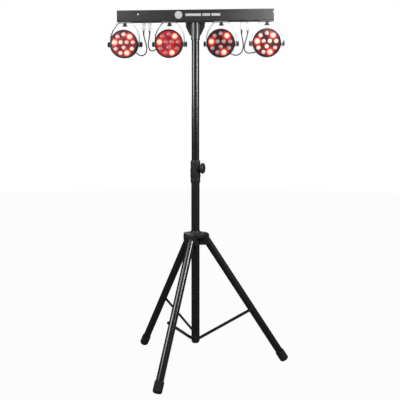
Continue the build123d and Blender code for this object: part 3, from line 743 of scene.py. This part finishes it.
# --- Heads ----------------------------------------------------------------------------------------
# A lens and a screw, each as (share of its radius, height), facing +Z.
LENS_PROFILE = ((0, -0.0008), (1.0, -0.0008), (1.0, 0.0009), (0.93, 0.0014), (0.86, 0.0009), (0.80, 0.0004),
                (0.72, 0.0008), (0.60, 0.0011), (0.52, 0.0010), (0.42, 0.0016), (0.28, 0.0021),
                (0.14, 0.0024), (0.0, 0.0025))
SCREW_PROFILE = ((0, -0.0003), (1, -0.0003), (1, 0.0006), (0.86, 0.0013), (0.5, 0.0016), (0.45, 0.0015),
                 (0.42, 0.0006), (0, 0.0006))
LENS_SIDES, SCREW_SIDES = 28, 18

# The front plate: its depth is from the tilt axis, and its rings are close so that light fades smoothly.
PLATE_BACK, PLATE_RADIUS = 30.2 * MM, 55.8 * MM
PLATE_CHAMFER, PLATE_LIP = 0.8 * MM, 1.2 * MM
PLATE_RINGS, PLATE_SIDES = 26, 96

# Red light fades from a hard-lit lens as two bells, each with its share, its width and its power.
SPILL_BELLS = ((0.66, 18.5 * MM, 4), (0.34, 31.0 * MM, 2))

# The dim red light painted on a plate goes in slow waves: radians to a metre, and how far each head's are
# shifted.
WAVE_X, WAVE_Z, SHIFT_X, SHIFT_Z = 95, 80, 2.1, 1.3
WAVE_LOW, WAVE_RISE = 0.55, 0.6

# The dim lenses of a head glow a little apart from each other.
GLOW_MEAN, GLOW_SWING, GLOW_STEP = 0.88, 0.12, 3.1
WASH_SHARE = 0.9                    # how much of the red light painted on the plate the dim lenses show

# On the back of a head, from its tilt axis: the ring of fins, one fin, and the case screws.
FIN_RING, FIN_DEPTH = 58.8 * MM, 13.5 * MM
FIN_LOW, FIN_HIGH, FIN_BEVEL = (-0.0012, -0.0007, 0), (0.0014, 0.0007, 0.026), 0.5 * MM
BACK_SCREW_RING, BACK_SCREW_DEPTH = 36.0 * MM, 34.1 * MM
BACK_SCREW_ANGLES = (45, 135, 225, 315)


def on_ring(radius, degrees):
    """A place on a ring round a head's middle, as (x, z)."""
    angle = math.radians(degrees)
    return radius * math.cos(angle), radius * math.sin(angle)


def lens_spots():
    """A head's lenses in order, each as its (x, z) from the head's middle and whether it is hard lit."""
    spots = []
    for count, radius, start in LENS_RINGS:
        for k in range(count):
            degrees = start + 360 * k / count
            spots.append((on_ring(radius, degrees), degrees % 360 in HARD_LIT_ANGLES))
    return spots


def screw_piece():
    """A pan-head screw facing +Z, with a round recess."""
    radius = sizes().screw_radius
    return turned("screw_master", [(radius * share, h) for share, h in SCREW_PROFILE], SCREW_SIDES)


def head_centre(number):
    """The middle of a head's tilt axis, found from its housing."""
    low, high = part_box(f"head_shell_{number}")
    return Vector(((low.x + high.x) / 2, 0, (low.z + high.z) / 2))


def lens_piece():
    """One lens facing +Z: a bezel, a step down, two rings and a dome, with "core" rising to its middle."""
    radius = sizes().lens_radius
    piece = turned("lens_master", [(radius * share, h) for share, h in LENS_PROFILE], LENS_SIDES)
    reach = [1 - min(1.0, math.hypot(v.co.x, v.co.y) / radius) for v in piece.data.vertices]
    set_attribute(piece, "core", reach)
    return piece


def spill_at(x, z, number):
    """How much red light falls on a head's plate at a place."""
    near = 0.0
    for angle in HARD_LIT_ANGLES:
        lens_x, lens_z = on_ring(OUTER_RING, angle)
        distance = math.hypot(x - lens_x, z - lens_z)
        near = max(near, sum(share * math.exp(-(distance / width) ** power)
                             for share, width, power in SPILL_BELLS))
    wave = math.sin(WAVE_X * x + SHIFT_X * number) * math.cos(WAVE_Z * z - SHIFT_Z * number)
    floor = RED_FLOOR[number] * (WAVE_LOW + WAVE_RISE * (0.5 + 0.5 * wave))
    return min(1.0, max(near, floor))


def front_plate(number):
    """The round front plate of a head, with the red light that falls on it in "spill"."""
    centre = head_centre(number)
    place = Matrix.Translation(centre) @ Matrix.Rotation(math.radians(90), 4, "X")
    face = -LENS_FACE_DEPTH
    profile = [(0, PLATE_BACK), (PLATE_RADIUS, PLATE_BACK), (PLATE_RADIUS, face - PLATE_CHAMFER),
               (PLATE_RADIUS - PLATE_CHAMFER, face)]
    profile += [((PLATE_RADIUS - PLATE_LIP) * (1 - k / PLATE_RINGS), face) for k in range(PLATE_RINGS + 1)]
    plate = turned(f"front_plate_{number}", profile, PLATE_SIDES, place)
    set_attribute(plate, "spill", [spill_at(v.co.x - centre.x, v.co.z - centre.z, number)
                                   for v in plate.data.vertices])
    plate.data.materials.append(plate_material())
    return plate


def glow_of(number, index, hard):
    """How strongly a lens glows: a hard-lit one fully, the others faintly."""
    if hard:
        return 1.0
    return FAINT_GLOW[number] * (GLOW_MEAN + GLOW_SWING * math.cos(GLOW_STEP * index + number))


class PARCAN_OT_heads(bpy.types.Operator):
    """Fit the front plates and the lit lenses"""
    bl_idname = "parcan.heads"
    bl_label = "Front plates and lenses"

    def execute(self, context):
        lens_places = lens_spots()
        for k in HEADS:
            centre = head_centre(k)
            plate = front_plate(k)
            spots = [(centre + Vector((x, LENS_FACE_DEPTH, z)), facing(0)) for (x, z), _ in lens_places]
            values = {"glow": [glow_of(k, i, hard) for i, (_, hard) in enumerate(lens_places)],
                      "wash": [WASH_SHARE * RED_FLOOR[k] ** 2] * len(spots)}
            lenses = placed(f"lenses_{k}", lens_piece(), spots, lens_material(), values)
            for piece in (plate, lenses):
                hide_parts(f"lens_plate_{k}")
                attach(piece, f"head_{k}")
            assign(f"head_shell_{k}", finish("head_black"))
            assign(f"led_board_{k}", finish("board_white"))
        return {"FINISHED"}


class PARCAN_OT_head_backs(bpy.types.Operator):
    """Add the cooling fins and the case screws to the backs of the heads"""
    bl_idname = "parcan.head_backs"
    bl_label = "Head backs"

    def execute(self, context):
        backward = Matrix.Rotation(math.radians(90), 4, "X")
        for k in HEADS:
            centre = head_centre(k)
            fin = rounded_box("fin_master", FIN_LOW, FIN_HIGH, FIN_BEVEL, 2)
            around = Matrix.Translation(centre + Vector((0, FIN_DEPTH, 0))) @ backward
            fins = ringed(f"cooling_fins_{k}", fin, sizes().rear_fins, FIN_RING, finish("head_black"),
                          place=around)
            screws = []
            for angle in BACK_SCREW_ANGLES:
                x, z = on_ring(BACK_SCREW_RING, angle)
                screws.append((centre + Vector((x, BACK_SCREW_DEPTH, z)), facing(180)))
            heads = placed(f"case_screws_{k}", screw_piece(), screws, finish("zinc"))
            for piece, name in ((fins, "head_plastic"), (heads, "zinc_steel")):
                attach(piece, f"head_{k}")
        return {"FINISHED"}


# --- Bar ------------------------------------------------------------------------------------------
# Places on the bar's front are (x, z) from its middle. Profiles are (radius, height) in metres.
STRIP_SPANS = ((-0.041, 0.028), (0.034, 0.068), (0.074, 0.112))
STRIP_LOW, STRIP_HIGH, STRIP_BEVEL = -3.5 * MM, 7.5 * MM, 0.5 * MM
STRIP_PROUD, STRIP_SUNK = 0.6 * MM, 0.4 * MM
BADGE_PLACE = (-0.0715, 0.002)
BADGE_PROFILE = ((0, -0.0004), (0.0165, -0.0004), (0.0165, 0.0004), (0.0158, 0.0008), (0, 0.0008))
WINDOW_PLACE = (-0.2515, 0.0065)
WINDOW_PROFILE = ((0, -0.0004), (0.0032, -0.0004), (0.0032, 0.0006), (0.0026, 0.0014), (0, 0.0019))
LAMP_PLACES = ((-0.2385, 0.0155), (-0.2375, 0.0025))
LAMP_PROFILE = ((0, -0.0003), (0.0014, -0.0003), (0.0014, 0.0004), (0, 0.0012))
BADGE_SIDES, WINDOW_SIDES, LAMP_SIDES = 48, 28, 14

# Screws in the bar's end caps and in its rear panel, and the louvres either side of the panel.
END_CAP_THICK = 2.6 * MM
END_SCREW_Y, END_SCREW_INSET = 20 * MM, 8 * MM
PANEL_SCREW_X, PANEL_SCREW_INSET, PANEL_SUNK = 71 * MM, 12 * MM, 0.3 * MM
VENT_PITCH, VENT_LAST, VENT_GAP = 16 * MM, 14, 5
VENT_LOW, VENT_HIGH, VENT_BEVEL = (-0.0012, -0.009, -0.0004), (0.0012, 0.009, 0.0009), 0.4 * MM

BAR_FINISHES = {
    "bar_housing": "bar_coat", "bar_end_caps": "bar_coat", "rear_panel": "moulded_black",
    "lamp_outlets": "moulded_black", "lamp_plugs": "clear_plug", "hanging_bolts": "zinc",
    "power_supply": "case_alloy", "control_board": "board_green", "adapter_socket": "socket_enamel",
    "adapter_screws": "strap_black", "adapter_lock_knob": "knob_black",
}


def on_front(place):
    """The point on the bar's front at an (x, z) from its middle."""
    low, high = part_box("bar_housing")
    return Vector((place[0], low.y, (low.z + high.z) / 2 + place[1]))


def front_button(name, place, profile, sides):
    """A round piece on the bar's front."""
    seat = Matrix.Translation(on_front(place)) @ facing(0).to_matrix().to_4x4()
    return turned(name, profile, sides, seat)


def bar_screw_spots():
    """The places and turns of the screws in the bar's end caps and its rear panel."""
    low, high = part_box("bar_housing")
    spots = []
    for side, face in ((-1, low.x - END_CAP_THICK), (1, high.x + END_CAP_THICK)):
        for y in (-END_SCREW_Y, END_SCREW_Y):
            for z in (low.z + END_SCREW_INSET, high.z - END_SCREW_INSET):
                spots.append((Vector((face, y, z)), facing(90 * side)))
    for x in (-PANEL_SCREW_X, PANEL_SCREW_X):
        for z in (low.z + PANEL_SCREW_INSET, high.z - PANEL_SCREW_INSET):
            spots.append((Vector((x, high.y - PANEL_SUNK, z)), facing(180)))
    return spots


def vent_spots():
    """The places and turns of the vent louvres on the bar's back."""
    low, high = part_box("bar_housing")
    numbers = [n for n in range(-VENT_LAST, VENT_LAST + 1) if abs(n) > VENT_GAP]
    return [(Vector((n * VENT_PITCH, high.y, (low.z + high.z) / 2)), facing(180)) for n in numbers]


class PARCAN_OT_bar(bpy.types.Operator):
    """Finish the bar and add its badge, name strips, receiver window, signal lamps, screws and vents"""
    bl_idname = "parcan.bar"
    bl_label = "Bar"

    def execute(self, context):
        strips = []
        for left, right in STRIP_SPANS:
            low = on_front((left, STRIP_LOW)) - Vector((0, STRIP_PROUD, 0))
            high = on_front((right, STRIP_HIGH)) + Vector((0, STRIP_SUNK, 0))
            strips.append(rounded_box("name_strip", low, high, STRIP_BEVEL))
        badge = front_button("round_badge", BADGE_PLACE, BADGE_PROFILE, BADGE_SIDES)
        plate = merged("blank_name_plate", [*strips, badge])
        plate.data.materials.append(finish("label_grey"))
        window = front_button("receiver_window", WINDOW_PLACE, WINDOW_PROFILE, WINDOW_SIDES)
        window.data.materials.append(finish("label_white"))
        lamps = placed("signal_lamps", turned("lamp_master", LAMP_PROFILE, LAMP_SIDES),
                       [(on_front(place), facing(0)) for place in LAMP_PLACES], finish("window_dark"))
        screws = placed("case_screws_bar", screw_piece(), bar_screw_spots(), finish("zinc"))
        vent = rounded_box("vent_master", VENT_LOW, VENT_HIGH, VENT_BEVEL, 2)
        vents = placed("vent_louvres", vent, vent_spots(), finish("bar_coat"))
        for piece, name in ((plate, "bar_coat"), (window, "bar_coat"), (lamps, "bar_coat"),
                            (screws, "zinc_steel"), (vents, "bar_coat")):
            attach(piece, "bar")
        for node, name in BAR_FINISHES.items():
            assign(node, finish(name))
        return {"FINISHED"}


# --- Stand ----------------------------------------------------------------------------------------
STAND_FINISHES = {
    "mast_tube": "gloss_tube", "lower_tube": "satin_tube", "base_hub": "moulded_black",
    "brace_foot_bolts": "strap_black", "mast_collar": "moulded_black", "mast_lock_knob": "knob_black",
    "leg_hub": "moulded_black", "leg_pivot_bolts": "strap_black", "hub_lock_knob": "knob_black",
}
LEG_FINISHES = {"leg_knuckle": "moulded_black", "foot": "foot_rubber", "brace": "strap_black"}
GLOSSY_LEG = 1                      # the other two legs have the duller paint
HANGER_FINISHES = {"yoke": "yoke_metal", "tilt_knobs": "knob_black", "hang_knob": "knob_black"}

# The collar's grip ribs: one rib, and the ring that they stand on.
RIB_LOW, RIB_HIGH, RIB_BEVEL = (-0.0008, -0.0013, -0.019), (0.0007, 0.0013, 0.019), 0.6 * MM
RIB_RING, RIB_HEIGHT, RIB_LEAN = 21.8 * MM, 46 * MM, math.radians(-24)

# The feet's rings: the profile of one, and their places along the leg from the foot's middle.
LEG_SPLAY = math.radians(32.8)
RING_PROFILE = ((0.0200, -0.0012), (0.0209, -0.0008), (0.0209, 0.0008), (0.0200, 0.0012), (0.0196, 0),
                (0.0200, -0.0012))
RING_FIRST, RING_STEP, RING_SIDES = -12 * MM, 6.5 * MM, 40


class PARCAN_OT_stand(bpy.types.Operator):
    """Finish the mast, the tripod and the knobs and yokes"""
    bl_idname = "parcan.stand"
    bl_label = "Stand"

    def execute(self, context):
        looks = dict(STAND_FINISHES)
        for k in LEGS:
            looks[f"leg_tube_{k}"] = "gloss_tube" if k == GLOSSY_LEG else "satin_tube"
            looks |= {f"{piece}_{k}": name for piece, name in LEG_FINISHES.items()}
        for k in HEADS:
            looks |= {f"{piece}_{k}": name for piece, name in HANGER_FINISHES.items()}
        for node, name in looks.items():
            assign(node, finish(name))
        return {"FINISHED"}


class PARCAN_OT_collar_ribs(bpy.types.Operator):
    """Add the slanted grip ribs round the mast collar"""
    bl_idname = "parcan.collar_ribs"
    bl_label = "Collar ribs"

    def execute(self, context):
        low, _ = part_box("mast_collar")
        rib = rounded_box("rib_master", RIB_LOW, RIB_HIGH, RIB_BEVEL, 2)
        ribs = ringed("collar_ribs", rib, sizes().collar_ribs, RIB_RING, finish("moulded_black"),
                      lean=RIB_LEAN, place=Matrix.Translation((0, 0, low.z + RIB_HEIGHT)))
        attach(ribs, "column")
        return {"FINISHED"}


class PARCAN_OT_foot_rings(bpy.types.Operator):
    """Add the raised rings round the rubber feet"""
    bl_idname = "parcan.foot_rings"
    bl_label = "Foot rings"

    def execute(self, context):
        for k in LEGS:
            low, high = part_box(f"foot_{k}")
            joint = next(j for j in frame["joints"] if j["name"] == f"leg_fold_{k}")
            pivot = Vector(joint["pos_m"])
            across = Vector(joint["axis"]).normalized()
            reach = (low + high) / 2 - pivot
            flat = reach - across * reach.dot(across)
            outward = Vector((flat.x, flat.y, 0)).normalized()
            along = outward * math.sin(LEG_SPLAY) + Vector((0, 0, -math.cos(LEG_SPLAY)))
            turn = along.to_track_quat("Z", "Y")
            first = reach.dot(along) + RING_FIRST
            spots = [(pivot + along * (first + RING_STEP * n), turn) for n in range(sizes().foot_rings)]
            ring = turned("ring_master", RING_PROFILE, RING_SIDES)
            rings = placed(f"foot_rings_{k}", ring, spots, finish("foot_rubber"))
            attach(rings, f"leg_{k}")
        return {"FINISHED"}


# --- Stage ----------------------------------------------------------------------------------------
CAMERA_TURN = math.radians(5.5)
CAMERA_DISTANCE, CAMERA_HEIGHT = 3.505, 1.130
CAMERA_DIP = math.radians(5.9)
CAMERA_ASIDE = math.radians(0.338)
LENS_MM, SENSOR_MM = 70.0, 36.0

FLOOR_RADIUS, FLOOR_SIDES, FLOOR_DROP, FLOOR_GREY = 9.0, 96, 0.5 * MM, 0.3
FLOOR_WHITENESS = 0.97              # of the floor that the camera sees; the rest takes the shadows
WALL_STRENGTH = 0.07                # of the white walls, as the pieces see them

# Each light's name, place, target, size, power in watts and the angle it fans out to, in degrees.
SOFT_LIGHTS = (
    ("left_strip", (-1.25, -1.0, 1.7), (0, 0, 1.4), (1.1, 0.95), 26, 180),
    ("right_strip", (1.45, -0.85, 1.7), (0, 0, 1.4), (0.42, 0.95), 30, 180),
    ("top_softbox", (0.3, -1.2, 3.2), (0, 0, 1.1), (2.2, 1.6), 14, 180),
    ("left_wash", (-0.75, -0.9, 1.95), (-0.40, 0, 1.61), (0.2, 0.2), 0.22, 24),
    ("right_wash", (0.75, -0.9, 1.95), (0.37, 0, 1.61), (0.2, 0.2), 1.0, 24),
    ("back_softbox", (-1.2, 2.6, 2.0), (0, 0, 1.0), (1.6, 1.6), 30, 180),
)


def soft_light(name, place, target, size, power, spread):
    """A rectangular soft light aimed at a point, with the angle that its light fans out to."""
    lamp = bpy.data.lights.new(name, "AREA")
    lamp.shape = "RECTANGLE"
    lamp.size, lamp.size_y = size
    lamp.energy = power
    lamp.spread = math.radians(spread)
    obj = add_object(name, lamp)
    obj.location = place
    obj.rotation_euler = (Vector(target) - Vector(place)).to_track_quat("-Z", "Y").to_euler()


def lay_floor():
    """A wide pale floor that the camera sees as nearly white."""
    work = bmesh.new()
    bmesh.ops.create_circle(work, cap_ends=True, radius=FLOOR_RADIUS, segments=FLOOR_SIDES)
    mesh = bpy.data.meshes.new("pale_floor")
    work.to_mesh(mesh)
    work.free()
    floor = add_object("pale_floor", mesh)
    floor.location.z = -FLOOR_DROP
    pale = bpy.data.materials.new("pale_floor")
    pale.use_nodes = True
    nodes, links = pale.node_tree.nodes, pale.node_tree.links
    shader = nodes["Principled BSDF"]
    shader.inputs["Base Color"].default_value = (FLOOR_GREY, FLOOR_GREY, FLOOR_GREY, 1)
    shader.inputs["Roughness"].default_value = 0.9
    ray = nodes.new("ShaderNodeLightPath")
    bright = nodes.new("ShaderNodeEmission")
    bright.inputs["Color"].default_value = (1, 1, 1, 1)
    bright.inputs["Strength"].default_value = 1.0
    share = nodes.new("ShaderNodeMath")
    share.operation = "MULTIPLY"
    share.inputs[1].default_value = FLOOR_WHITENESS
    both = nodes.new("ShaderNodeMixShader")
    links.new(ray.outputs["Is Camera Ray"], share.inputs[0])
    links.new(share.outputs["Value"], both.inputs["Fac"])
    links.new(shader.outputs["BSDF"], both.inputs[1])
    links.new(bright.outputs["Emission"], both.inputs[2])
    links.new(both.outputs["Shader"], nodes["Material Output"].inputs["Surface"])
    mesh.materials.append(pale)


def white_studio():
    """White walls for the camera, dim and slightly blue ones for the pieces."""
    world = bpy.data.worlds.new("studio")
    bpy.context.scene.world = world
    world.use_nodes = True
    nodes, links = world.node_tree.nodes, world.node_tree.links
    ray = nodes.new("ShaderNodeLightPath")
    seen = nodes.new("ShaderNodeBackground")
    seen.inputs["Color"].default_value = (1, 1, 1, 1)
    dim = nodes["Background"]
    dim.inputs["Color"].default_value = (0.9, 0.93, 1.0, 1)
    dim.inputs["Strength"].default_value = WALL_STRENGTH
    mix = nodes.new("ShaderNodeMixShader")
    links.new(ray.outputs["Is Camera Ray"], mix.inputs["Fac"])
    links.new(dim.outputs["Background"], mix.inputs[1])
    links.new(seen.outputs["Background"], mix.inputs[2])
    links.new(mix.outputs["Shader"], nodes["World Output"].inputs["Surface"])


def set_camera():
    """A long lens a little to the right of the mast, looking slightly down."""
    lens = bpy.data.cameras.new("view")
    lens.sensor_width = SENSOR_MM
    lens.lens = LENS_MM
    camera = add_object("view", lens)
    camera.location = (CAMERA_DISTANCE * math.sin(CAMERA_TURN), -CAMERA_DISTANCE * math.cos(CAMERA_TURN),
                       CAMERA_HEIGHT)
    camera.rotation_euler = Euler((math.radians(90) - CAMERA_DIP, 0, CAMERA_TURN - CAMERA_ASIDE))
    bpy.context.scene.camera = camera


class PARCAN_OT_stage(bpy.types.Operator):
    """Set the pale floor, the soft lights and the camera"""
    bl_idname = "parcan.stage"
    bl_label = "Stage"

    def execute(self, context):
        lay_floor()
        white_studio()
        for light in SOFT_LIGHTS:
            soft_light(*light)
        set_camera()
        context.scene.view_settings.view_transform = "Standard"
        return {"FINISHED"}


# --- Add-on ---------------------------------------------------------------------------------------
OPERATORS = (PARCAN_OT_cords, PARCAN_OT_heads, PARCAN_OT_head_backs, PARCAN_OT_bar, PARCAN_OT_stand,
             PARCAN_OT_collar_ribs, PARCAN_OT_foot_rings, PARCAN_OT_stage)


class PARCAN_PT_panel(bpy.types.Panel):
    """The par can light's settings and steps"""
    bl_idname = "PARCAN_PT_panel"
    bl_label = "Par can light"
    bl_space_type = "VIEW_3D"
    bl_region_type = "UI"
    bl_category = "Par can light"

    def draw(self, context):
        for settings in (context.scene.parcan_sizes, context.scene.parcan_colours):
            box = self.layout.box()
            for name in settings.__annotations__:
                box.prop(settings, name)
        for operator in OPERATORS:
            self.layout.operator(operator.bl_idname)


CLASSES = (ParcanSizes, ParcanColours, *OPERATORS, PARCAN_PT_panel)


def register():
    """Adds the classes and the scene's settings."""
    for cls in CLASSES:
        bpy.utils.register_class(cls)
    bpy.types.Scene.parcan_sizes = PointerProperty(type=ParcanSizes)
    bpy.types.Scene.parcan_colours = PointerProperty(type=ParcanColours)


def unregister():
    """Takes them away again."""
    del bpy.types.Scene.parcan_sizes
    del bpy.types.Scene.parcan_colours
    for cls in reversed(CLASSES):
        bpy.utils.unregister_class(cls)


def main():
    register()
    for operator in OPERATORS:
        group, name = operator.bl_idname.split(".")
        getattr(getattr(bpy.ops, group), name)()


if __name__ == "__main__":
    main()
